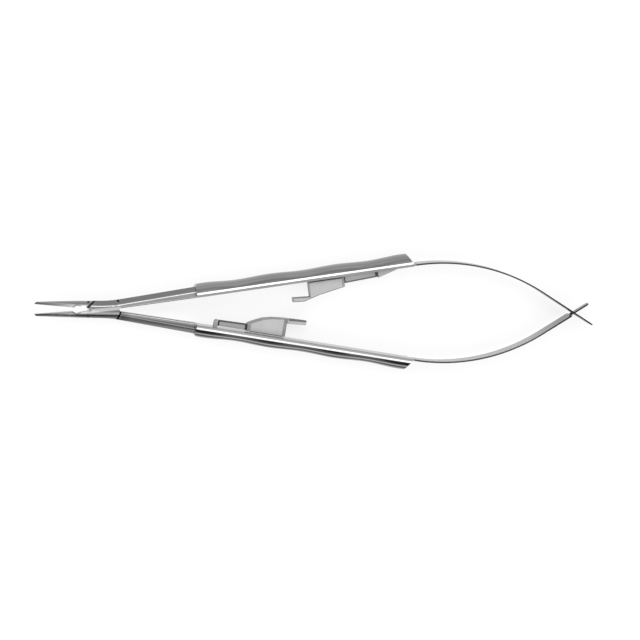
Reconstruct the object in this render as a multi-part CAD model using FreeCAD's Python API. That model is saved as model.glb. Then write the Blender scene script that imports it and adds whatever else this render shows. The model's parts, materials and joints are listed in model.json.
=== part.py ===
"""Spring-handled needle holder with a hook lock, lying on the sides of its two handles.

The jaws are open and the leaf springs relaxed. Units are millimetres. The pieces are drawn about the
pivot, with the instrument's mid-plane at z = 0, and moved at the end so that the origin is the middle
of the footprint on the table. +X runs from the jaws to the springs and +Y is the opening direction.
The upper half (+Y handle) is drawn, and the lower half is the upper one turned over about the X axis.
"""
import FreeCAD, Part
import math
import os

V = FreeCAD.Vector
X_AXIS = V(1, 0, 0)
Z_AXIS = V(0, 0, 1)

# Jaws and lap joint
JAW_REACH = 17.6          # pivot to the tip of the jaws
CLOSE_ANGLE = 4.15        # each arm turns this far to bring the jaws together
JAW_TIP_BACK = 1.85       # midline to the back of an open jaw near its tip
JAW_NOSE = 1.0            # length of the rounded nose
JAW_BELLY = 0.1           # fullness of the jaw's back half way along
JAW_TAPER_X = -6.0        # the jaws thin out from here to the tip
JAW_TIP_WIDTH = 1.7       # across the jaw (Z) at its tip
JOINT_WIDTH = 3.4         # across both halves of the joint (Z)
JOINT_HEIGHT = 4.5        # the joint seen from the side (Y)
CHEEK_RADIUS = 4.1        # rounded rear end of each half of the joint
CHEEK_GAP = 0.04          # running clearance between the two halves
SHOULDER_GAP = 0.08       # jaw shoulder to flank with the jaws closed
REAR_SHOULDER_GAP = 0.42  # shank shoulder to the rounded rear end
FLANK_X = -3.42           # where the flank crosses FLANK_Y
FLANK_Y = 1.18
FLANK_ANGLE = 46.0
EYE_FRONT_X = -6.75       # the eye behind the gripping faces, wide end
EYE_FRONT_RADIUS = 1.02
EYE_REAR_X = -4.0
EYE_REAR_RADIUS = 0.36

# Pivot screw, its head on the hidden side
SCREW_DIAMETER = 1.6
SCREW_HEAD = 2.5
SCREW_BORE_GAP = 0.03
SCREW_SKIN = 0.35         # metal left over the blind end of its hole
SCREW_SLOT = 0.4

# Shanks
SHANK_ROOT_X = 4.1
SHANK_ROOT_INNER = 0.40   # midline to the inner edge of the shank, behind the joint
SHANK_ROOT_OUTER = 2.62
SHANK_OUTER_X = 5.0       # the shank's outer edge leaves the joint here
TOP_HOLLOW = 0.2          # hollow between the top of the joint and the shank
SHANK_INNER_ANGLE = 8.13
SHANK_OUTER_ANGLE = 9.9
SHANK_END_WIDTH = 3.0     # across the shank (Z) at the handle
SHANK_CHAMFER = 1.25      # outer long edges, and the top of the joint
CHAMFER_ROUNDING = 0.6    # between the chamfer and the side
SHANK_EASING = 0.35       # inner long edges
TANG_DIAMETER = 1.7
TANG_LENGTH = 7.0

# Handles, drawn in their own frame: u along the inner face, v outward, z across
HANDLE_FRONT_X = 23.8
HANDLE_FRONT_Y = 3.49
HANDLE_ANGLE = 8.6
HANDLE_LENGTH = 56.5
HANDLE_WIDTH = 8.0
LAND = 0.65               # flat side of the handle, which it rests on
SHOULDER = 0.45           # narrow facet between the side and the crowned back
SHOULDER_ANGLE = 20.0     # its lean
CREST_HEIGHT = 3.32       # inner face to the top of a finger swell
CREST_DIP = 0.2           # the middle swells are this much lower
TROUGH_HEIGHT = 2.84
FIRST_CREST = 2.6
CREST_PITCH = 17.0
NOSE_RADIUS = 1.5
END_SLOPE = 62.0
END_FILLET = 0.9
SECTIONS_PER_PITCH = 6

# Leaf springs
SPRING_WIDTH = 6.2
SPRING_ROOT = 0.46        # thickness where the spring leaves the handle
SPRING_THICKNESS = 0.38
SPRING_LIP = 0.8          # strip that stands out of the handle with it
SPRING_RADIUS = 49.0
TAIL_ANGLE = 32.0         # slope of the straight end
ROOT_GAP = 0.1
UPPER_TAIL = 5.6          # crossing to the end of the strip
LOWER_TAIL = 4.6
SLOT_LENGTH = 3.2
SLOT_WIDTH = 2.9
TONGUE_WIDTH = 2.4
TONGUE_ROOT = 1.0         # the tongue starts this far before the crossing
STRIP_CORNER = 0.9

# Lock catches, drawn in the handle's frame: u along, w from the inner face towards the midline
CATCH_WIDTH = 4.9
CATCH_CHAMFER = 0.22
CATCH_BEVEL = 0.75        # slope of each side of the block at its leaf end
CATCH_LIFT = 0.3          # block to the handle's inner face
LANE_GAP = 0.12           # sideways gap between the two fingers at rest
LOCK_GAP = 0.08           # between the locking faces with the jaws closed
FINGER_THICKNESS = 1.15
LEAF_WIDTH = 1.1          # the springy leaf, across (Z)
LEAF_CHAMFER = 0.45
LEAF_LIFT = 0.4           # leaf to the handle's inner face
LEAF_GAP = 0.06           # leaf to foot

# Upper catch: places along the handle, then depths
UPPER_FINGER_TIP = 24.5
UPPER_FINGER_ROOT = 29.0
UPPER_BLOCK_END = 38.4
UPPER_FOOT_START = 47.2
UPPER_FOOT_END = 52.6
UPPER_BLOCK_HEEL = 2.75
UPPER_BLOCK_KNEE = (31.5, 3.95)
UPPER_BLOCK_CHIN = (27.4, 5.08)
UPPER_LEAF_FRONT = 2.1
UPPER_LEAF_REAR = 1.68

# Lower catch: places along the handle, then depths
LOWER_FOOT_START = 4.7
LOWER_FOOT_END = 5.6
LOWER_BLOCK_START = 13.2
LOWER_FINGER_ROOT = 23.4
LOWER_FINGER_TIP = 28.4
LOWER_BLOCK_TOE = 2.2
LOWER_BLOCK_BACK = [(15.05, 3.2), (17.0, 4.1), (19.3, 4.65), (22.3, 4.95)]
LOWER_LEAF_FRONT = 1.95
LOWER_LEAF_REAR = 2.1
LOWER_FOOT_BEVEL = 0.4

BEND = 1 - math.sqrt(0.5)  # a rounded corner stands this share of its radius off its sides half way

os.makedirs("parts", exist_ok=True)


def polygon(points):
    """Closed chain of straight edges through the points."""
    ends = points[1:] + points[:1]
    return [Part.makeLine(V(*a), V(*b)) for a, b in zip(points, ends)]


def chain(start, *steps):
    """Edges from a start point. A step is an end point, or (middle, end) for an arc."""
    edges = []
    here = V(*start)
    for step in steps:
        if isinstance(step[0], tuple):
            there = V(*step[1])
            edges.append(Part.Arc(here, V(*step[0]), there).toShape())
        else:
            there = V(*step)
            edges.append(Part.makeLine(here, there))
        here = there
    return edges


def prism(edges, low, high):
    """Solid between two heights, on a closed outline drawn in the XY plane."""
    face = Part.Face(Part.Wire(edges))
    face.translate(V(0, 0, low))
    return face.extrude(V(0, 0, high - low))


def turned(shape, angle, axis=Z_AXIS, centre=V(0, 0, 0)):
    copy = shape.copy()
    copy.rotate(centre, axis, angle)
    return copy


def turned_over(shape):
    """The same piece on the other half of the instrument."""
    return turned(shape, 180, X_AXIS)


def on_handle(shape):
    """Move a piece from the handle's frame to its place on the upper handle."""
    copy = turned(shape, HANDLE_ANGLE)
    copy.translate(V(HANDLE_FRONT_X, HANDLE_FRONT_Y, 0))
    return copy


def rotated(x, y, angle):
    c, s = math.cos(math.radians(angle)), math.sin(math.radians(angle))
    return c * x - s * y, s * x + c * y


def tan(angle):
    return math.tan(math.radians(angle))


def shank_inner(x):
    return SHANK_ROOT_INNER + (x - SHANK_ROOT_X) * tan(SHANK_INNER_ANGLE)


def shank_outer(x):
    return SHANK_ROOT_OUTER + (x - SHANK_ROOT_X) * tan(SHANK_OUTER_ANGLE)


def shank_end(inner):
    """Corner of the shank's end, which lies flat on the handle's front face."""
    line, angle = (shank_inner, SHANK_INNER_ANGLE) if inner else (shank_outer, SHANK_OUTER_ANGLE)
    run, rise = rotated(1, 0, HANDLE_ANGLE)
    up = (line(HANDLE_FRONT_X) - HANDLE_FRONT_Y) / (run + tan(angle) * rise)
    return HANDLE_FRONT_X - up * rise, HANDLE_FRONT_Y + up * run, 0


def flank_point(y):
    """Point of the flank line at a given height: the near arm's joint ends there."""
    return FLANK_X + (y - FLANK_Y) / tan(FLANK_ANGLE), y, 0


def arm_plan():
    """Outline of one arm: lower jaw, joint and upper shank."""
    half = JOINT_HEIGHT / 2
    grip = tan(CLOSE_ANGLE)
    slope = tan(FLANK_ANGLE)
    # the gripping face meets the flank where both lines have the same height
    corner_x = (FLANK_Y - slope * FLANK_X) / (grip - slope)
    tip_y = -JAW_REACH * grip
    nose_x = -JAW_REACH + JAW_NOSE
    nose_mid = (-JAW_REACH + BEND * JAW_NOSE, -JAW_TIP_BACK + BEND * (JAW_TIP_BACK + tip_y), 0)
    back_mid = (-JAW_REACH / 2, -(half + JAW_TIP_BACK) / 2 - JAW_BELLY / 2, 0)
    rear_low = math.degrees(math.asin(half / CHEEK_RADIUS))
    # the rounded rear end meets the shank's inner edge at the height of the shank's root
    rear_high_x = math.sqrt(CHEEK_RADIUS ** 2 - SHANK_ROOT_INNER ** 2)
    top_x = flank_point(half)[0]
    shank_y = shank_outer(SHANK_OUTER_X)
    return chain(
        (-JAW_REACH, tip_y, 0),
        (nose_mid, (nose_x, -JAW_TIP_BACK, 0)),
        (back_mid, (*rotated(CHEEK_RADIUS, 0, -rear_low), 0)),
        ((*rotated(CHEEK_RADIUS, 0, -rear_low / 2), 0), (rear_high_x, SHANK_ROOT_INNER, 0)),
        shank_end(True),
        shank_end(False),
        (SHANK_OUTER_X, shank_y, 0),
        (((top_x + SHANK_OUTER_X) / 2, (half + shank_y) / 2 - TOP_HOLLOW, 0), (top_x, half, 0)),
        (corner_x, corner_x * grip, 0),
        (-JAW_REACH, tip_y, 0),
    )


def arm_side():
    """Slab with the arm's thickness (Z) at each place along it."""
    tip, joint, end = JAW_TIP_WIDTH / 2, JOINT_WIDTH / 2, SHANK_END_WIDTH / 2
    front, back = -JAW_REACH - 1, HANDLE_FRONT_X + 1
    points = [(front, tip), (JAW_TAPER_X, joint), (SHANK_OUTER_X, joint), (back, end)]
    outline = points + [(x, -z) for x, z in reversed(points)]
    reach = HANDLE_FRONT_X
    slab = Part.Face(Part.Wire(polygon([(x, -reach, z) for x, z in outline])))
    return slab.extrude(V(0, 2 * reach, 0))


def eye():
    """Teardrop opening behind the gripping faces, shared by both arms."""
    front, rear = V(EYE_FRONT_X, 0, 0), V(EYE_REAR_X, 0, 0)
    tilt = math.asin((EYE_FRONT_RADIUS - EYE_REAR_RADIUS) / (EYE_REAR_X - EYE_FRONT_X))
    up = V(math.sin(tilt), math.cos(tilt), 0)
    down = V(math.sin(tilt), -math.cos(tilt), 0)
    a, b = front + up * EYE_FRONT_RADIUS, rear + up * EYE_REAR_RADIUS
    c, d = rear + down * EYE_REAR_RADIUS, front + down * EYE_FRONT_RADIUS
    edges = [
        Part.makeLine(a, b),
        Part.Arc(b, rear + V(EYE_REAR_RADIUS, 0, 0), c).toShape(),
        Part.makeLine(c, d),
        Part.Arc(d, front - V(EYE_FRONT_RADIUS, 0, 0), a).toShape(),
    ]
    return prism(edges, -JOINT_WIDTH, JOINT_WIDTH)


def lap_pocket():
    """Space taken out of an arm for the other arm's half of the joint, below the lap plane."""
    reach = CHEEK_RADIUS + REAR_SHOULDER_GAP
    disc = Part.makeCylinder(reach, JOINT_WIDTH, V(0, 0, -JOINT_WIDTH + CHEEK_GAP / 2))
    # the jaw's shoulder: the other arm's flank, set off by the gap, as it lies with the jaws closed
    rise, run = math.sin(math.radians(FLANK_ANGLE)), math.cos(math.radians(FLANK_ANGLE))
    span = 3 * JOINT_HEIGHT
    x, y = FLANK_X - SHOULDER_GAP * rise, FLANK_Y + SHOULDER_GAP * run
    start, end = (x - span * run, y - span * rise), (x + span * run, y + span * rise)
    corners = [start, end, (end[0] - span, end[1] + span), (start[0] - span, start[1] + span)]
    corners = [rotated(*corner, -2 * CLOSE_ANGLE) for corner in corners]
    jaw_side = prism(polygon([(px, -py, 0) for px, py in corners]), -JOINT_WIDTH, JOINT_WIDTH)
    return disc.cut(jaw_side)


def long_edges(solid, wanted):
    """Edges on the two broad faces whose middle passes the test."""
    found = []
    for edge in solid.Edges:
        at = (edge.FirstParameter + edge.LastParameter) / 2
        middle = edge.valueAt(at)
        flat = abs(edge.tangentAt(at).z) < 0.3
        if flat and abs(middle.z) > JAW_TIP_WIDTH / 4 and wanted(middle):
            found.append(edge)
    return found


def outer_edge(p):
    """True on the top of the joint and the outer side of the shank."""
    shank = 0 < p.x < HANDLE_FRONT_X - 0.5 and p.y > shank_outer(p.x) - 0.2
    return shank or (p.y > JOINT_HEIGHT / 2 - 0.1 and FLANK_X < p.x <= SHANK_OUTER_X)


def inner_edge(p):
    """True on the inner side of the shank."""
    return abs(p.y - shank_inner(p.x)) < 0.1 and SHANK_ROOT_X < p.x < HANDLE_FRONT_X - 0.5


def chamfer_edge(p):
    """True where the chamfer of the shank and of the top of the joint meets the side."""
    if FLANK_X - SHANK_CHAMFER < p.x < SHANK_OUTER_X and abs(p.y - JOINT_HEIGHT / 2 + SHANK_CHAMFER) < 0.15:
        return True
    return 0 < p.x < HANDLE_FRONT_X - 0.5 and abs(p.y - shank_outer(p.x) + SHANK_CHAMFER) < 0.15


def back_corners():
    """Metal to take off below the axis, so that the jaw and the joint get a half-round back."""
    low, half = JOINT_HEIGHT / 2, JOINT_WIDTH / 2
    rear = CHEEK_RADIUS + REAR_SHOULDER_GAP
    front = -JAW_REACH - JAW_NOSE
    stations = [
        (front, JAW_TIP_BACK, JAW_TIP_WIDTH / 2),
        (JAW_TAPER_X, (low + JAW_TIP_BACK) / 2 + JAW_BELLY, half),
        (rear, low, half),
    ]
    wires = []
    for x, depth, side in stations:
        spots = [(x, -depth * math.sin(math.radians(t)), side * math.cos(math.radians(t)))
                 for t in range(0, 181, 15)]
        curve = Part.BSplineCurve()
        curve.interpolate([V(*p) for p in spots])
        wires.append(Part.Wire([curve.toShape(), Part.makeLine(V(*spots[-1]), V(*spots[0]))]))
    kept = Part.makeLoft(wires[:2], True, True).fuse(Part.makeLoft(wires[1:], True, True))
    depth, width = JOINT_HEIGHT, 2 * JOINT_WIDTH
    return Part.makeBox(rear - front, depth, width, V(front, -depth, -width / 2)).cut(kept)


def arm():
    """The near arm: a lap-jointed bar from the lower jaw to the upper shank."""
    solid = prism(arm_plan(), -JOINT_WIDTH, JOINT_WIDTH).common(arm_side())
    solid = solid.makeChamfer(SHANK_CHAMFER, long_edges(solid, outer_edge))
    solid = solid.makeFillet(CHAMFER_ROUNDING, long_edges(solid, chamfer_edge))
    solid = solid.makeFillet(SHANK_EASING, long_edges(solid, inner_edge))
    solid = solid.cut(back_corners()).cut(eye()).cut(lap_pocket())
    return solid.fuse(tang(TANG_DIAMETER)).removeSplitter()


def tang(diameter):
    """Round tang behind the shank, brazed in the handle."""
    x = HANDLE_FRONT_X - 1
    y = (shank_inner(x) + shank_outer(x)) / 2
    run, rise = rotated(1, 0, HANDLE_ANGLE)
    return Part.makeCylinder(diameter / 2, TANG_LENGTH + 1, V(x, y, 0), V(run, rise, 0))


def screw_cone(extra):
    """Countersunk head on the hidden side, with an even allowance all round."""
    head, shaft = SCREW_HEAD / 2 + extra, SCREW_DIAMETER / 2 + extra
    return Part.makeCone(head, shaft, head - shaft, V(0, 0, -JOINT_WIDTH / 2))


def screw_shaft(extra, low, high):
    return Part.makeCylinder(SCREW_DIAMETER / 2 + extra, high - low, V(0, 0, low))


def pivot_screw():
    low, high = -JOINT_WIDTH / 2, JOINT_WIDTH / 2 - SCREW_SKIN
    screw = screw_cone(0).fuse(screw_shaft(0, low, high)).removeSplitter()
    slot = Part.makeBox(SCREW_HEAD * 2, SCREW_SLOT, SCREW_SLOT * 2)
    slot.translate(V(-SCREW_HEAD, -SCREW_SLOT / 2, low - SCREW_SLOT))
    return screw.cut(slot)


def near_arm():
    """Holds the screw in a blind hole, so its outer face stays smooth."""
    return arm().cut(screw_shaft(0, 0, JOINT_WIDTH / 2 - SCREW_SKIN))


def far_arm():
    """The same arm turned over, bored to run on the screw."""
    bore = screw_cone(SCREW_BORE_GAP).fuse(screw_shaft(SCREW_BORE_GAP, -JOINT_WIDTH, CHEEK_GAP))
    return turned_over(arm()).cut(bore)


def back_height(u):
    """Height of the handle's crowned back, which swells under the fingers."""
    along = min(max(u / HANDLE_LENGTH, 0), 1)
    crest = CREST_HEIGHT - CREST_DIP * math.sin(math.pi * along)
    wave = math.cos(2 * math.pi * (u - FIRST_CREST) / CREST_PITCH)
    return (crest + TROUGH_HEIGHT) / 2 + (crest - TROUGH_HEIGHT) / 2 * wave


def handle_section(u):
    """Closed cross-section with a crowned back, a little too wide and deep for the flats to come."""
    side = HANDLE_WIDTH / 2
    beyond = side + SHOULDER
    edge = side - SHOULDER * tan(SHOULDER_ANGLE)
    lift = LAND + SHOULDER
    return Part.Wire(chain(
        (u, -SHOULDER, -beyond),
        (u, LAND, -beyond),
        (u, LAND, -side),
        (u, lift, -edge),
        ((u, back_height(u), 0), (u, lift, edge)),
        (u, LAND, side),
        (u, LAND, beyond),
        (u, -SHOULDER, beyond),
        (u, -SHOULDER, -beyond),
    ))


def handle_trim():
    """Block with the handle's flats, rounded in front and scooped down to the spring at the rear."""
    top = CREST_HEIGHT + 0.3
    bend = NOSE_RADIUS * BEND
    end = HANDLE_LENGTH + SPRING_LIP
    rise, run = math.sin(math.radians(END_SLOPE)), math.cos(math.radians(END_SLOPE))
    half_rise, half_run = math.sin(math.radians(END_SLOPE / 2)), math.cos(math.radians(END_SLOPE / 2))
    low = (end - END_FILLET * rise, SPRING_ROOT + END_FILLET * (1 - run), 0)
    middle = (end - END_FILLET * half_rise, SPRING_ROOT + END_FILLET * (1 - half_run), 0)
    corner_u = low[0] - (top - low[1]) / tan(END_SLOPE)
    edges = chain(
        (0, 0, 0),
        (end, 0, 0),
        (end, SPRING_ROOT, 0),
        (middle, low),
        (corner_u, top, 0),
        (NOSE_RADIUS, top, 0),
        ((bend, top - bend, 0), (0, top - NOSE_RADIUS, 0)),
        (0, 0, 0),
    )
    return prism(edges, -HANDLE_WIDTH / 2, HANDLE_WIDTH / 2)


def handle():
    """Crowned handle with finger swells, a socket for the tang and a lip for the spring."""
    step = CREST_PITCH / SECTIONS_PER_PITCH
    count = math.ceil((HANDLE_LENGTH + SPRING_LIP + 1) / step) + 1
    body = Part.makeLoft([handle_section(-0.5 + i * step) for i in range(count + 1)], True, False)
    solid = body.common(handle_trim())
    beside = HANDLE_WIDTH / 2 - SPRING_WIDTH / 2
    for side in (-1, 1):
        notch = Part.makeBox(SPRING_LIP * 3, HANDLE_WIDTH, beside * 2)
        middle = side * (SPRING_WIDTH / 2 + beside)
        notch.translate(V(HANDLE_LENGTH, -1, middle - beside))
        solid = solid.cut(notch)
    return on_handle(solid).cut(tang(TANG_DIAMETER))


def spring_points():
    """Root of the upper spring's centre line, and the centre of its arc."""
    u = HANDLE_LENGTH + SPRING_LIP + ROOT_GAP
    x, y = rotated(u, SPRING_ROOT / 2, HANDLE_ANGLE)
    root = V(HANDLE_FRONT_X + x, HANDLE_FRONT_Y + y, 0)
    away = V(*rotated(0, -SPRING_RADIUS, HANDLE_ANGLE), 0)
    return root, root + away


def spring_crossing():
    """Where the straight end of the spring meets the midline."""
    centre = spring_points()[1]
    start = centre + V(*rotated(0, SPRING_RADIUS, -TAIL_ANGLE), 0)
    return V(start.x + start.y / tan(TAIL_ANGLE), 0, 0)


def strip_edge(offset_root, offset_end, tail):
    """One side of the strip: its arc start, middle and end, then the tail's end."""
    centre = spring_points()[1]
    turn = (HANDLE_ANGLE + TAIL_ANGLE) / 2
    points = []
    for step in range(3):
        radius = SPRING_RADIUS + offset_root + (offset_end - offset_root) * step / 2
        points.append(centre + V(*rotated(0, radius, HANDLE_ANGLE - step * turn), 0))
    along = V(*rotated(1, 0, -TAIL_ANGLE), 0)
    across = V(*rotated(0, 1, -TAIL_ANGLE), 0)
    points.append(spring_crossing() + along * tail + across * offset_end)
    return points


def leaf_strip(tail):
    """Plain strip from the handle to the end of its tail."""
    outer = strip_edge(SPRING_ROOT / 2, SPRING_THICKNESS / 2, tail)
    inner = strip_edge(-SPRING_ROOT / 2, -SPRING_THICKNESS / 2, tail)
    edges = [
        Part.Arc(*outer[:3]).toShape(),
        Part.makeLine(outer[2], outer[3]),
        Part.makeLine(outer[3], inner[3]),
        Part.makeLine(inner[3], inner[2]),
        Part.Arc(inner[2], inner[1], inner[0]).toShape(),
        Part.makeLine(inner[0], outer[0]),
    ]
    return prism(edges, -SPRING_WIDTH / 2, SPRING_WIDTH / 2)


def at_crossing(shape):
    """Move a cutter drawn with its length on X and its plan in XZ onto the tail."""
    copy = turned(shape, -TAIL_ANGLE)
    copy.translate(spring_crossing())
    return copy


def rounded_end(strip, tail, width):
    """Round the two corners at the end of a tail."""
    corners = []
    end = spring_crossing() + V(*rotated(1, 0, -TAIL_ANGLE), 0) * tail
    for edge in strip.Edges:
        middle = edge.valueAt((edge.FirstParameter + edge.LastParameter) / 2)
        if (middle - end).Length < width / 2 + 0.05 and abs(abs(middle.z) - width / 2) < 0.01:
            if edge.Length < 2 * SPRING_THICKNESS:
                corners.append(edge)
    return strip.makeFillet(min(STRIP_CORNER, 0.4 * width), corners)


def upper_leaf_spring():
    """Full-width strip with a slot near its end."""
    slot = Part.makeBox(SLOT_LENGTH, 4, SLOT_WIDTH, V(-SLOT_LENGTH / 2, -2, -SLOT_WIDTH / 2))
    slot = slot.makeFillet(SLOT_WIDTH / 4, [e for e in slot.Edges if abs(e.tangentAt(0).y) > 0.9])
    return rounded_end(leaf_strip(UPPER_TAIL).cut(at_crossing(slot)), UPPER_TAIL, SPRING_WIDTH)


def lower_leaf_spring():
    """Strip that narrows to a tongue, which passes through the other spring's slot."""
    strip = leaf_strip(LOWER_TAIL)
    beside = SPRING_WIDTH - TONGUE_WIDTH
    for side in (-1, 1):
        middle = side * (TONGUE_WIDTH / 2 + beside / 2)
        cutter = Part.makeBox(LOWER_TAIL + TONGUE_ROOT + 1, 4, beside)
        cutter.translate(V(-TONGUE_ROOT, -2, middle - beside / 2))
        inner = [e for e in cutter.Edges if abs(e.tangentAt(0).y) > 0.9
                 and e.valueAt(0).x < 0 and abs(e.valueAt(0).z) < TONGUE_WIDTH]
        strip = strip.cut(at_crossing(cutter.makeFillet(0.5, inner)))
    return turned_over(rounded_end(strip, LOWER_TAIL, TONGUE_WIDTH))


def lock_depth(u):
    """Depth of the locking face below the inner face: on the midline with the jaws closed."""
    slope = math.radians(HANDLE_ANGLE - CLOSE_ANGLE)
    start = rotated(HANDLE_FRONT_X, HANDLE_FRONT_Y, -CLOSE_ANGLE)[1]
    return (start + u * math.sin(slope) + LOCK_GAP / 2) / math.cos(slope)


def catch_prism(points, width):
    """Solid across the handle on a (u, w) outline, centred on the mid-plane."""
    return prism(polygon([(u, -w, 0) for u, w in points]), -width / 2, width / 2)


def across_catch(points):
    """Cutter through the depth of a catch on a (u, z) outline."""
    face = Part.Face(Part.Wire(polygon([(u, 0, z) for u, z in points])))
    return face.extrude(V(0, -HANDLE_WIDTH, 0))


def chamfered(solid, size, wanted):
    """Chamfer the edges of the two side faces whose middle passes the test."""
    top = solid.BoundBox.ZMax
    edges = []
    for edge in solid.Edges:
        middle = edge.valueAt((edge.FirstParameter + edge.LastParameter) / 2)
        level = abs(edge.tangentAt(edge.FirstParameter).z) < 0.01
        if level and abs(abs(middle.z) - top) < 0.001 and wanted(middle):
            edges.append(edge)
    return solid.makeChamfer(size, edges)


def catch_hook(block, finger_root, finger_tip):
    """Block and finger. The finger keeps to the near lane, and a slope leads down to it."""
    tip_lock, root_lock = lock_depth(finger_tip), lock_depth(finger_root)
    points = block + [
        (finger_tip, tip_lock + FINGER_THICKNESS),
        (finger_tip, tip_lock),
        (finger_root, root_lock),
    ]
    solid = catch_prism(points, CATCH_WIDTH)
    solid = chamfered(solid, CATCH_CHAMFER, lambda p: True)
    way = 1 if finger_tip > finger_root else -1
    leaf_end = block[1][0]
    for side in (-1, 1):
        near, deep = side * CATCH_WIDTH / 2, side * (CATCH_WIDTH / 2 - CATCH_BEVEL)
        wedge = [(leaf_end + way * CATCH_BEVEL, near), (leaf_end, deep), (leaf_end - way, deep),
                 (leaf_end - way, 2 * near), (leaf_end + way * CATCH_BEVEL, 2 * near)]
        solid = solid.cut(across_catch(wedge))
    slope = CATCH_WIDTH / 4
    far = -CATCH_WIDTH
    lane = [
        (finger_root - way * slope, far),
        (finger_root - way * slope, -CATCH_WIDTH / 2),
        (finger_root + way * 0.2, LANE_GAP / 2),
        (finger_tip + way, LANE_GAP / 2),
        (finger_tip + way, far),
    ]
    return solid.cut(across_catch(lane))


def catch_leaf(points):
    return chamfered(catch_prism(points, LEAF_WIDTH), LEAF_CHAMFER, lambda p: p.y < -1.0)


def upper_catch():
    """Foot at the rear, finger pointing to the jaws."""
    block = [
        (UPPER_FINGER_ROOT, CATCH_LIFT),
        (UPPER_BLOCK_END, CATCH_LIFT),
        (UPPER_BLOCK_END, UPPER_BLOCK_HEEL),
        UPPER_BLOCK_KNEE,
        UPPER_BLOCK_CHIN,
    ]
    hook = catch_hook(block, UPPER_FINGER_ROOT, UPPER_FINGER_TIP)
    leaf = catch_leaf([
        (UPPER_BLOCK_END, LEAF_LIFT),
        (UPPER_FOOT_START, LEAF_LIFT),
        (UPPER_FOOT_START, UPPER_LEAF_REAR),
        (UPPER_BLOCK_END, UPPER_LEAF_FRONT),
    ])
    start = UPPER_FOOT_START + LEAF_GAP
    bevel = UPPER_FOOT_END - CATCH_LIFT * 2
    foot = catch_prism(
        [(start, 0), (UPPER_FOOT_END, 0), (bevel, CATCH_LIFT), (start, UPPER_LEAF_REAR)], CATCH_WIDTH)
    return [on_handle(piece) for piece in (hook, leaf, foot)]


def lower_catch():
    """Foot at the front, finger pointing to the springs."""
    block = [
        (LOWER_FINGER_ROOT, CATCH_LIFT),
        (LOWER_BLOCK_START, CATCH_LIFT),
        (LOWER_BLOCK_START, LOWER_BLOCK_TOE),
        *LOWER_BLOCK_BACK,
    ]
    hook = catch_hook(block, LOWER_FINGER_ROOT, LOWER_FINGER_TIP)
    leaf = catch_leaf([
        (LOWER_FOOT_END, LEAF_LIFT),
        (LOWER_BLOCK_START, LEAF_LIFT),
        (LOWER_BLOCK_START, LOWER_LEAF_REAR),
        (LOWER_FOOT_END, LOWER_LEAF_FRONT),
    ])
    end = LOWER_FOOT_END - LEAF_GAP
    foot = catch_prism([
        (LOWER_FOOT_START, 0),
        (end, 0),
        (end, LOWER_LEAF_FRONT),
        (LOWER_FOOT_START + LOWER_FOOT_BEVEL, LOWER_LEAF_FRONT),
        (LOWER_FOOT_START, LOWER_LEAF_FRONT - LOWER_FOOT_BEVEL),
    ], CATCH_WIDTH / 2)
    return [turned_over(on_handle(piece)) for piece in (hook, leaf, foot)]


def pieces():
    """Every piece by name, about the pivot."""
    upper_hook, upper_leaf, upper_foot = upper_catch()
    lower_hook, lower_leaf, lower_foot = lower_catch()
    grip = handle()
    return {
        "near_arm": near_arm(),
        "far_arm": far_arm(),
        "pivot_screw": pivot_screw(),
        "upper_handle": grip,
        "lower_handle": turned_over(grip),
        "upper_leaf_spring": upper_leaf_spring(),
        "lower_leaf_spring": lower_leaf_spring(),
        "upper_catch_foot": upper_foot,
        "upper_catch_leaf": upper_leaf,
        "upper_catch_hook": upper_hook,
        "lower_catch_foot": lower_foot,
        "lower_catch_leaf": lower_leaf,
        "lower_catch_hook": lower_hook,
    }


def row_shift(shapes):
    """Move that puts the origin in the middle of the footprint, on the table."""
    box = Part.makeCompound(shapes).optimalBoundingBox(False, False)
    return V(-(box.XMin + box.XMax) / 2, -(box.YMin + box.YMax) / 2, -box.ZMin)


def main():
    built = pieces()
    shift = row_shift(list(built.values()))
    for name, shape in built.items():
        placed = shape.copy()
        placed.translate(shift)
        placed.exportStep("parts/" + name + ".step")
        print(name, len(placed.Solids), round(placed.Volume, 3), placed.isValid())
    print("pivot at", shift)
    root = spring_points()[0] + shift
    print("upper spring root at", root)


main()
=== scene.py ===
"""Looks of the spring-handled needle holder: steel finishes with painted shade, highlights and
reflections, bent strips, camera, floor and light.
"""
import json
import math

import bmesh
import bpy
from mathutils import Matrix, Vector


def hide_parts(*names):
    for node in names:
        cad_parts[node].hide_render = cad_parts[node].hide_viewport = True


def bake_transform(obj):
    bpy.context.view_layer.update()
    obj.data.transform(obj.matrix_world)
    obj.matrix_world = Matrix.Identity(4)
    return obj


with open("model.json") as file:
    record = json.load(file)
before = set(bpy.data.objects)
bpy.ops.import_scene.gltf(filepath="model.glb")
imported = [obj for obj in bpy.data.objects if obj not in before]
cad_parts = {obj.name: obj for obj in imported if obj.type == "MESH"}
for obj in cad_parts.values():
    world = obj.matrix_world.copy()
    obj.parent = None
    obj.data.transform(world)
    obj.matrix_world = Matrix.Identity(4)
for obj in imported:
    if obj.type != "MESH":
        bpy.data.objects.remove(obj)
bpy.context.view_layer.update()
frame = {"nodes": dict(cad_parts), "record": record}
MM = 0.001

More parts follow.
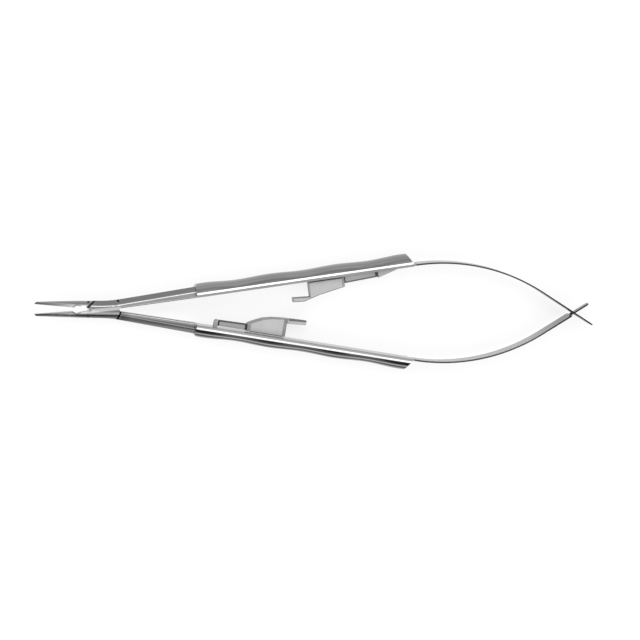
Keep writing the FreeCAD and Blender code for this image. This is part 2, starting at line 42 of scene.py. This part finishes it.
# Sizes repeated from the solids, in millimetres and degrees
MID = 4.0                       # height of the mid-plane
PIVOT_X = -54.857
CLOSE_ANGLE = 4.15              # open gripping face to the midline
CHEEK_RADIUS = 4.1              # rounded rear end of each half of the joint, round the pivot
GAP_RADII = (4.16, 4.56)        # open gap behind it
FLANK_CORNER = (-3.42, 1.18)    # a point of the joint's slanting flank, from the pivot
FLANK_ANGLE = 46.0
EYE_X = -6.75                   # wide end of the eye, from the pivot
SHANK_START = 4.6               # behind the gap, from the pivot
SHANK_ANGLE = 8.13              # slope of a shank's inner edge
HANDLE_FRONT = (-31.057, 3.49)  # front end of the upper handle's inner face
HANDLE_ANGLE = 8.6
LOCK_DEPTH = 1.804              # handle's inner face to the locking face, at the handle's front end
FINGER_START = 23.9             # lower finger's root, along the handle
SPRING_START = (25.663, 12.301)
SPRING_RADIUS = 49.0
TAIL_ANGLE = 32.0               # slope of the straight end
SPRING_WIDTH = 6.2
SPRING_ROOT = 0.46              # thickness at the handle
SPRING_THICKNESS = 0.38         # thickness of the straight end
UPPER_TAIL = 5.6                # crossing to the end of the strip
LOWER_TAIL = 4.6
SLOT_LENGTH = 3.2
SLOT_WIDTH = 2.9
TONGUE_WIDTH = 2.4
TONGUE_ROOT = 1.0               # the tongue starts this far before the crossing


def link(obj):
    """Put an object in the scene."""
    bpy.context.scene.collection.objects.link(obj)
    return obj


def turn(x, y, angle):
    """Turn a point about the origin by an angle in degrees."""
    c, s = math.cos(math.radians(angle)), math.sin(math.radians(angle))
    return c * x - s * y, s * x + c * y


def slope(angle):
    """Rise per length of a line that leans by an angle in degrees."""
    return math.tan(math.radians(angle))


# Materials

class Field:
    """A number that varies over a surface. Sums, products and bands of it are shader nodes."""

    def __init__(self, tree, socket):
        self.tree = tree
        self.socket = socket

    def apply(self, operation, other=0.0):
        """Result of a math node on this field and a number or a second field."""
        node = self.tree.nodes.new("ShaderNodeMath")
        node.operation = operation
        for socket, value in zip(node.inputs, (self, other)):
            if isinstance(value, Field):
                self.tree.links.new(value.socket, socket)
            else:
                socket.default_value = value
        return Field(self.tree, node.outputs[0])

    def __add__(self, other):
        return self.apply("ADD", other)

    def __sub__(self, other):
        return self.apply("SUBTRACT", other)

    def __mul__(self, other):
        return self.apply("MULTIPLY", other)

    __rmul__ = __mul__

    def remap(self, low, high, start=0.0, end=1.0):
        """Slope from a start value at the low limit to an end value at the high one, level outside."""
        node = self.tree.nodes.new("ShaderNodeMapRange")
        for name, value in (("From Min", low), ("From Max", high), ("To Min", start), ("To Max", end)):
            node.inputs[name].default_value = value
        self.tree.links.new(self.socket, node.inputs["Value"])
        return Field(self.tree, node.outputs["Result"])

    def between(self, low, high, soft):
        """1 inside the two limits, fading out over the soft width."""
        return self.remap(low - soft, low) * self.remap(high, high + soft, 1, 0)

    def ramp(self, stops):
        """Grey levels along the field, from pairs of a place between 0 and 1 and a level."""
        node = self.tree.nodes.new("ShaderNodeValToRGB")
        node.color_ramp.interpolation = "EASE"
        elements = node.color_ramp.elements
        while len(elements) < len(stops):
            elements.new(0.5)
        for stop, (place, level) in zip(elements, stops):
            stop.position = place
            stop.color = (level, level, level, 1)
        self.tree.links.new(self.socket, node.inputs["Fac"])
        return Field(self.tree, node.outputs["Color"])


NOISE_SPAN = (0.3, 0.7)         # most of a noise texture's values lie between these
BUMP_DEPTH = 0.00002
EVEN = (1, 1, 1)                # grain without a direction
DRAWN = (0.15, 1, 1)            # grain of the forgings and handles, stretched along X
ROLLED = (0.12, 1, 1)           # grain of the springs
STREAK_SCALE = 900
EVEN_STREAKS = (0.4, 0.4, 0.4)
LONG_STREAKS = (0.03, 1, 1)
# colour, roughness, its spread, scale of the grain, strength of the bump, stretch, darkest streak
SATIN = ((0.28, 0.28, 0.284), 0.17, 0.02, 2500, 0.03, DRAWN, 0.85)
ARM = ((0.26, 0.26, 0.263), 0.2, 0.02, 2500, 0.03, DRAWN, 0.85)


def steel(name, colour, roughness, spread, grain, bump, stretch=EVEN, streaks=0.9):
    """Stainless steel: streaks of colour, fine grain in its gloss, and a little bump."""
    material = bpy.data.materials.new(name)
    material.use_nodes = True
    tree = material.node_tree
    shader = tree.nodes["Principled BSDF"]
    shader.inputs["Metallic"].default_value = 1.0
    place = tree.nodes.new("ShaderNodeTexCoord")

    def noise(scale, detail, stretched):
        """Noise in object coordinates, stretched along the axes."""
        mapping = tree.nodes.new("ShaderNodeMapping")
        mapping.inputs["Scale"].default_value = stretched
        tree.links.new(place.outputs["Object"], mapping.inputs["Vector"])
        texture = tree.nodes.new("ShaderNodeTexNoise")
        texture.inputs["Scale"].default_value = scale
        texture.inputs["Detail"].default_value = detail
        tree.links.new(mapping.outputs["Vector"], texture.inputs["Vector"])
        return Field(tree, texture.outputs["Fac"])

    fine = noise(grain, 6, stretch)
    broad = noise(STREAK_SCALE, 3, EVEN_STREAKS if stretch == EVEN else LONG_STREAKS)
    tint = tree.nodes.new("ShaderNodeValToRGB")
    shades = [c * streaks for c in colour], colour
    for stop, position, shade_of in zip(tint.color_ramp.elements, NOISE_SPAN, shades):
        stop.position = position
        stop.color = (*shade_of, 1)
    tree.links.new(broad.socket, tint.inputs["Fac"])
    tree.links.new(tint.outputs["Color"], shader.inputs["Base Color"])
    gloss = fine.remap(*NOISE_SPAN, roughness - spread, roughness + spread)
    tree.links.new(gloss.socket, shader.inputs["Roughness"])
    relief = tree.nodes.new("ShaderNodeBump")
    relief.inputs["Strength"].default_value = bump
    relief.inputs["Distance"].default_value = BUMP_DEPTH
    tree.links.new(fine.socket, relief.inputs["Height"])
    tree.links.new(relief.outputs["Normal"], shader.inputs["Normal"])
    return material


def darken(material, level):
    """Multiply the colour of a material by a grey level."""
    tree = material.node_tree
    colour = tree.nodes["Principled BSDF"].inputs["Base Color"]
    product = tree.nodes.new("ShaderNodeMixRGB")
    product.blend_type = "MULTIPLY"
    product.inputs["Fac"].default_value = 1
    tree.links.new(colour.links[0].from_socket, product.inputs["Color1"])
    tree.links.new(level.socket, product.inputs["Color2"])
    tree.links.new(product.outputs["Color"], colour)


def from_pivot(material):
    """X from the pivot, Y from the midline and Z from the mid-plane, in millimetres."""
    tree = material.node_tree
    place = tree.nodes.new("ShaderNodeTexCoord")
    parts = tree.nodes.new("ShaderNodeSeparateXYZ")
    tree.links.new(place.outputs["Object"], parts.inputs[0])
    x, y, z = (Field(tree, socket) * (1 / MM) for socket in parts.outputs)
    return x - PIVOT_X, y, z - MID


def along_handle(x, y):
    """Place along a handle's inner face and height above it, in millimetres, alike for both handles."""
    right = x - (HANDLE_FRONT[0] - PIVOT_X)
    up = y.apply("ABSOLUTE") - HANDLE_FRONT[1]
    return turn(right, up, -HANDLE_ANGLE)


JAW_SPAN = (-30, -6.4)          # gripping faces, from the pivot
CHEEK_FRONT = -2.9              # front of the smooth cheek, from the pivot
RIDGE_SLOPE = 0.094
RIDGE_HEIGHT = 0.6              # of the cheek's ridge over the midline, at the pivot


def arm_painted_light():
    """Satin steel with painted shade in the crevices round the joint and along edges, and lines of
    painted highlight.
    """
    material = steel("arm_steel_painted_light", *ARM)
    x, y, z = from_pivot(material)
    out = y.apply("ABSOLUTE")
    # painted shade in the open gap behind the joint
    radius = (x * x + out * out).apply("SQRT")
    gap = radius.between(*GAP_RADII, 0.03) * z.between(-1.0, 1.0, 0.1)
    # the jaws, by their height above the gripping face: painted shade at the edge, then a painted
    # highlight line
    above = x * slope(CLOSE_ANGLE) + out
    jaw = x.between(*JAW_SPAN, 0.8)
    grip = jaw * above.between(-5, 0.2, 0.9)
    jaw_highlight = jaw * above.between(0.55, 0.8, 0.15)
    # painted shade in the crevice between the flank and the other jaw's shoulder, on the half that ends
    # there
    across = turn(x - FLANK_CORNER[0], out - FLANK_CORNER[1], -FLANK_ANGLE)[1]
    flank = across.between(-0.22, 0.1, 0.08) * out.between(0.5, 3, 0.1)
    flank = flank * (y * z).apply("GREATER_THAN", 0)
    # painted shade round the rim of the eye
    east = x - EYE_X
    rim = (east * east + out * out).apply("SQRT").between(0, 1.2, 0.25)
    # below the ridge of the cheek: a painted dark line, a painted highlight strip, then painted shade on
    # the turn of the back
    below = x * RIDGE_SLOPE + RIDGE_HEIGHT - y * z.apply("SIGN")
    cheek = x.between(CHEEK_FRONT, CHEEK_RADIUS, 0.4)
    line = cheek * below.between(-0.1, 0.02, 0.06)
    cheek_highlight = cheek * below.between(0.2, 0.85, 0.15)
    back = x.between(-5.5, CHEEK_RADIUS, 3) * below.between(1.2, 9, 0.3)
    # painted shade on the lower shank's flank, by its height above the inner edge
    height = out - x * slope(SHANK_ANGLE)
    shank = x.between(SHANK_START, 60, 0.2) * height.between(0.65, 1.7, 0.2) * y.apply("LESS_THAN", 0)
    # painted shade darkens the colour, and painted highlights (negative depths) lighten it
    level = 1.0
    for mask, depth in ((grip, 0.6), (jaw_highlight, -0.8), (gap, 0.97), (flank, 0.9), (rim, 0.6),
                        (cheek_highlight, -0.8), (line, 0.3), (back, 0.5), (shank, 0.5)):
        level = (mask * -depth + 1) * level
    darken(material, level)
    return material


SWELL_PITCH = 17.0              # the three swells, as far as the painted reflection bands follow them
SWELL_CREST = 2.6               # first crest, along the handle
SWELL_HEIGHT = 0.17
BACK_HEIGHT = 3.0               # inner face to the end of the bands, on average


def handle_painted_reflections(name, bands):
    """Satin steel with long bands of painted reflection that follow the swells of the crowned back."""
    material = steel(name, *SATIN)
    u, v = along_handle(*from_pivot(material)[:2])
    swell = ((u - SWELL_CREST) * (2 * math.pi / SWELL_PITCH)).apply("COSINE")
    share = v.apply("DIVIDE", swell * SWELL_HEIGHT + BACK_HEIGHT)
    darken(material, share.ramp(bands))
    return material


def strip_painted_shade(name, colour, roughness):
    """Spring steel with painted shade that darkens it towards the crossing of the two springs."""
    material = steel(name, colour, roughness, 0.02, 3000, 0.03, ROLLED)
    x = from_pivot(material)[0]
    # painted shade from the crossing on, fading in over 9 mm before it
    darken(material, x.between(119, 200, 9) * -0.75 + 1)
    return material


def hook_painted_shade():
    """Matt steel with a strip of painted shade on top of the lower finger."""
    material = steel("hook_steel_painted_shade", (0.29, 0.29, 0.29), 0.55, 0.05, 6000, 0.15)
    material.node_tree.nodes["Principled BSDF"].inputs["Metallic"].default_value = 0.7
    x, y, _ = from_pivot(material)
    u, v = along_handle(x, y)
    # the finger lies beyond the locking face, which leans by the angle left when the jaws close
    lock = u * slope(HANDLE_ANGLE - CLOSE_ANGLE) + LOCK_DEPTH
    beyond = v * -1 - lock
    # painted shade on the top face of the lower finger
    top = beyond.between(0.85, 3, 0.12) * u.between(FINGER_START, 60, 0.2)
    darken(material, top * y.apply("LESS_THAN", 0) * -0.7 + 1)
    return material


slots = {
    "satin_steel": steel("satin_steel", *SATIN),
    "spring_steel": strip_painted_shade("spring_steel", (0.26, 0.26, 0.263), 0.22),
    "matt_steel": steel("matt_steel", (0.28, 0.28, 0.28), 0.42, 0.04, 6000, 0.1),
}
# near-black painted shade for the springs' long edges
edge_painted_shade = strip_painted_shade("spring_edge_painted_shade", (0.05, 0.05, 0.051), 0.3)
hook_steel_painted_shade = hook_painted_shade()
arm_steel_painted_light = arm_painted_light()
own = {
    "near_arm": arm_steel_painted_light,
    "far_arm": arm_steel_painted_light,
    # upper handle: faint painted reflection bands; lower handle: painted shade on the inner face, a
    # painted highlight on the land, dark and light painted reflection bands on the back
    "upper_handle": handle_painted_reflections("upper_handle_painted_reflections", [
        (0, 1), (0.36, 1), (0.44, 0.85), (0.58, 0.9), (0.68, 1.0), (0.78, 0.88), (1, 1)]),
    "lower_handle": handle_painted_reflections("lower_handle_painted_reflections", [
        (0, 0.7), (0.03, 0.9), (0.1, 1.15), (0.2, 1.3), (0.36, 1.05), (0.42, 0.45), (0.56, 0.25),
        (0.62, 0.35), (0.67, 1.4), (0.71, 1.4), (0.77, 0.15), (0.85, 0.2), (0.93, 0.9), (1, 1.5)]),
    "upper_catch_hook": hook_steel_painted_shade,
    "lower_catch_hook": hook_steel_painted_shade,
}

for part in frame["record"]["subparts"]:
    mesh = frame["nodes"][part["node"]].data
    mesh.materials.clear()
    mesh.materials.append(own.get(part["node"], slots[part["material_slot"]]))


# Bent strips

BEVEL = 0.06                    # round of the strip's long edges
BENDS = 48                      # divisions of the bent part
TAIL_STEP = 2.0                 # length of a division of the straight end
END_ROUND = 0.9                 # corners of the strips' ends
SLOT_ROUND = 0.7
NECK_ROUND = 0.3                # where the lower strip narrows to its tongue
SHARP_ANGLE = 35.0              # edges that turn by more than this stay sharp
EDGE_LEAN = 0.8                 # faces that look up or down by more than this are the long edges
WELD = 1e-7                     # metres
ARC = math.radians(HANDLE_ANGLE + TAIL_ANGLE) * SPRING_RADIUS   # length of the bent part


def plate(name, outline, holes, cuts):
    """Flat plate with bevelled edges, its plan in XY, divided at the given X so that it can be bent."""
    curve = bpy.data.curves.new(name, "CURVE")
    curve.dimensions = "2D"
    curve.fill_mode = "BOTH"
    curve.extrude = (SPRING_THICKNESS / 2 - BEVEL) * MM
    curve.bevel_depth = BEVEL * MM
    curve.bevel_resolution = 2
    curve.offset = -BEVEL * MM
    for loop in [outline] + holes:
        spline = curve.splines.new("POLY")
        spline.points.add(len(loop) - 1)
        for point, (x, y) in zip(spline.points, loop):
            point.co = (x * MM, y * MM, 0, 1)
        spline.use_cyclic_u = True
    source = link(bpy.data.objects.new(name, curve))
    graph = bpy.context.evaluated_depsgraph_get()
    mesh = bpy.data.meshes.new_from_object(source.evaluated_get(graph))
    bpy.data.objects.remove(source)
    mesh.name = name
    grid = bmesh.new()
    grid.from_mesh(mesh)
    bmesh.ops.remove_doubles(grid, verts=grid.verts, dist=WELD)
    for x in cuts:
        every = grid.verts[:] + grid.edges[:] + grid.faces[:]
        bmesh.ops.bisect_plane(grid, geom=every, plane_co=(x * MM, 0, 0), plane_no=(1, 0, 0), dist=1e-8)
    grid.to_mesh(mesh)
    grid.free()
    return mesh


def rounded(points, radii, steps=6):
    """Polygon with its corners rounded; points run anticlockwise."""
    loop = []
    for i, radius in enumerate(radii):
        here = Vector(points[i])
        if radius <= 0:
            loop.append(tuple(here))
            continue
        before = (Vector(points[i - 1]) - here).normalized()
        after = (Vector(points[(i + 1) % len(points)]) - here).normalized()
        half = before.angle(after) / 2
        reach = radius / math.tan(half)
        centre = here + (before + after).normalized() * (radius / math.sin(half))
        start, end = here + before * reach - centre, here + after * reach - centre
        sweep = math.degrees(start.angle_signed(end))
        for step in range(steps + 1):
            loop.append(tuple(centre + Vector(turn(*start, -sweep * step / steps))))
    return loop


def oblong(start, end, width, radii):
    """Rectangle along X about the midline, with rounded corners; it starts at its near left corner."""
    half = width / 2
    return rounded([(start, -half), (end, -half), (end, half), (start, half)], radii)


def strip_frame(s):
    """Centre line of the upper spring at a length s from its root: place and direction."""
    angle = HANDLE_ANGLE - math.degrees(min(s, ARC) / SPRING_RADIUS)
    cx, cy = turn(0, -SPRING_RADIUS, HANDLE_ANGLE)
    px, py = turn(0, SPRING_RADIUS, angle)
    dx, dy = turn(max(s - ARC, 0), 0, -TAIL_ANGLE)
    return SPRING_START[0] + cx + px + dx, SPRING_START[1] + cy + py + dy, angle


CROSSING = ARC + strip_frame(ARC)[1] / math.sin(math.radians(TAIL_ANGLE))


def bend_strip(mesh, side):
    """Lay a flat plate (length, width, thickness on X, Y, Z) along the spring's centre line."""
    for vertex in mesh.vertices:
        s, across, t = (c / MM for c in vertex.co)
        x, y, angle = strip_frame(s)
        share = min(s / ARC, 1)
        t *= (SPRING_ROOT * (1 - share) + SPRING_THICKNESS * share) / SPRING_THICKNESS
        dx, dy = turn(0, t, angle)
        vertex.co = Vector((x + dx, side * (y + dy), MID + side * across)) * MM
    bent = bmesh.new()
    bent.from_mesh(mesh)
    bmesh.ops.recalc_face_normals(bent, faces=bent.faces)
    bent.to_mesh(mesh)
    bent.free()


def strip(name, side, outline, holes, tail, slot):
    """Bent spring on one side of the midline, its long edges painted near-black as shade, darker than
    its faces.
    """
    cuts = [i * ARC / BENDS for i in range(1, BENDS + 1)]
    while cuts[-1] + TAIL_STEP < tail:
        cuts.append(cuts[-1] + TAIL_STEP)
    mesh = plate(name, outline, holes, cuts)
    bend_strip(mesh, side)
    mesh.materials.clear()
    mesh.materials.append(slots[slot])
    mesh.materials.append(edge_painted_shade)
    for face in mesh.polygons:
        face.use_smooth = True
        face.material_index = 1 if abs(face.normal.z) > EDGE_LEAN else 0
    mesh.set_sharp_from_angle(angle=math.radians(SHARP_ANGLE))
    obj = link(bpy.data.objects.new(name, mesh))
    return obj


UPPER_END = CROSSING + UPPER_TAIL
LOWER_END = CROSSING + LOWER_TAIL
NECK = CROSSING - TONGUE_ROOT
HALF, HALF_TONGUE = SPRING_WIDTH / 2, TONGUE_WIDTH / 2
upper_outline = oblong(0, UPPER_END, SPRING_WIDTH, [0, END_ROUND, END_ROUND, 0])
slot_loop = oblong(CROSSING - SLOT_LENGTH / 2, CROSSING + SLOT_LENGTH / 2, SLOT_WIDTH, [SLOT_ROUND] * 4)
lower_outline = rounded(
    [(0, -HALF), (NECK, -HALF), (NECK, -HALF_TONGUE), (LOWER_END, -HALF_TONGUE),
     (LOWER_END, HALF_TONGUE), (NECK, HALF_TONGUE), (NECK, HALF), (0, HALF)],
    [0, NECK_ROUND, 0, END_ROUND, END_ROUND, 0, NECK_ROUND, 0])
upper_spring = strip("leaf_spring_upper", 1, upper_outline, [slot_loop], UPPER_END, "spring_steel")
lower_spring = strip("leaf_spring_lower", -1, lower_outline, [], LOWER_END, "spring_steel")
far_end = strip_frame(CROSSING)
for obj, half, body, node, side in (
        (upper_spring, "near_half", "upper_spring", "upper_leaf_spring", 1),
        (lower_spring, "far_half", "lower_spring", "lower_leaf_spring", -1)):
    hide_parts(node)
    far_end[0] * MM * 0.9
    side * far_end[1] * MM
    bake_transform(obj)


# Camera: far off and a little to the left and above, as in the photograph

VIEW_WIDTH = 0.1646             # width of the view at the instrument
VIEW_DISTANCE = 1.2
VIEW_ROLL = 1.18
VIEW_FROM = (-0.157, 0.09, 1)
VIEW_CENTRE = (1.24, -2.35, MID)
SENSOR = 36
CLIP_END = 20

away = Vector(VIEW_FROM).normalized()
right = Vector((0, 1, 0)).cross(away).normalized()
up = away.cross(right)
spin = Matrix.Rotation(math.radians(VIEW_ROLL), 3, away)
axes = Matrix((spin @ right, spin @ up, away)).transposed().to_4x4()
camera_data = bpy.data.cameras.new("view")
camera_data.sensor_width = SENSOR
camera_data.lens = SENSOR * VIEW_DISTANCE / VIEW_WIDTH
camera_data.clip_end = CLIP_END
camera = link(bpy.data.objects.new("view", camera_data))
camera.matrix_world = Matrix.Translation(Vector(VIEW_CENTRE) * MM + away * VIEW_DISTANCE) @ axes
bpy.context.scene.camera = camera


# Floor

FLOOR_REACH = 1.5
FLOOR_GREY = 0.13               # what it throws back of the light, so that shadows stay faint
FLOOR_GLOW = 0.80               # what it adds where the view or a reflection meets it


def white_floor():
    """Paper that looks white to the view and in the steel, and throws little light elsewhere."""
    material = bpy.data.materials.new("white_floor")
    material.use_nodes = True
    tree = material.node_tree
    tree.nodes.remove(tree.nodes["Principled BSDF"])
    diffuse = tree.nodes.new("ShaderNodeBsdfDiffuse")
    diffuse.inputs["Color"].default_value = (FLOOR_GREY, FLOOR_GREY, FLOOR_GREY, 1)
    path = tree.nodes.new("ShaderNodeLightPath")
    viewed, mirrored, passed = (Field(tree, path.outputs[name]) for name in (
        "Is Camera Ray", "Is Glossy Ray", "Is Transmission Ray"))
    seen = viewed.apply("MAXIMUM", mirrored).apply("MAXIMUM", passed)
    glow = tree.nodes.new("ShaderNodeEmission")
    glow.inputs["Color"].default_value = (1, 1, 1, 1)
    tree.links.new((seen * FLOOR_GLOW).socket, glow.inputs["Strength"])
    both = tree.nodes.new("ShaderNodeAddShader")
    tree.links.new(diffuse.outputs[0], both.inputs[0])
    tree.links.new(glow.outputs[0], both.inputs[1])
    tree.links.new(both.outputs[0], tree.nodes["Material Output"].inputs["Surface"])
    return material


floor_mesh = bpy.data.meshes.new("floor")
corners = [(x * FLOOR_REACH, y * FLOOR_REACH, 0) for x, y in ((-1, -1), (1, -1), (1, 1), (-1, 1))]
floor_mesh.from_pydata(corners, [], [(0, 1, 2, 3)])
floor_mesh.materials.append(white_floor())
floor = link(bpy.data.objects.new("floor", floor_mesh))


# The room round the instrument: bands of light and dark that run along it

ROOM_PEAK = 4.0                 # brightness of a full band
ROOM = [                        # angle from straight up, towards +Y, and brightness
    (-90, 0.3), (-84, 0.1), (-72, 0.1), (-62, 0.5), (-56, 2.4), (-47, 3.9), (-36, 3.4), (-20, 1.5),
    (-5, 1.25), (10, 1.5), (24, 2.6), (38, 3.2), (48, 2.1), (60, 1.1), (90, 0.7),
]
world = bpy.data.worlds.new("studio")
world.use_nodes = True
sky = world.node_tree
where = sky.nodes.new("ShaderNodeTexCoord")
split = sky.nodes.new("ShaderNodeSeparateXYZ")
sky.links.new(where.outputs["Generated"], split.inputs[0])
aside, above = Field(sky, split.outputs["Y"]), Field(sky, split.outputs["Z"])
tilt = aside.apply("ARCTAN2", above).remap(-math.pi / 2, math.pi / 2)
glow = tilt.ramp([((degrees + 90) / 180, level / ROOM_PEAK) for degrees, level in ROOM])
sky.links.new(glow.socket, sky.nodes["Background"].inputs["Color"])
sky.nodes["Background"].inputs["Strength"].default_value = ROOM_PEAK
bpy.context.scene.world = world


# Lamp

KEY_PLACE = Vector((0.0, 0.45, 0.80))
KEY_SIZE = (0.5, 0.3)
KEY_POWER = 1.5

key = bpy.data.lights.new("key", "AREA")
key.shape = "RECTANGLE"
key.size, key.size_y = KEY_SIZE
key.energy = KEY_POWER
lamp = link(bpy.data.objects.new("key", key))
aim = (KEY_PLACE * -1).to_track_quat("-Z", "Y")
lamp.matrix_world = Matrix.Translation(KEY_PLACE) @ aim.to_matrix().to_4x4()

bpy.context.scene.view_settings.view_transform = "Standard"
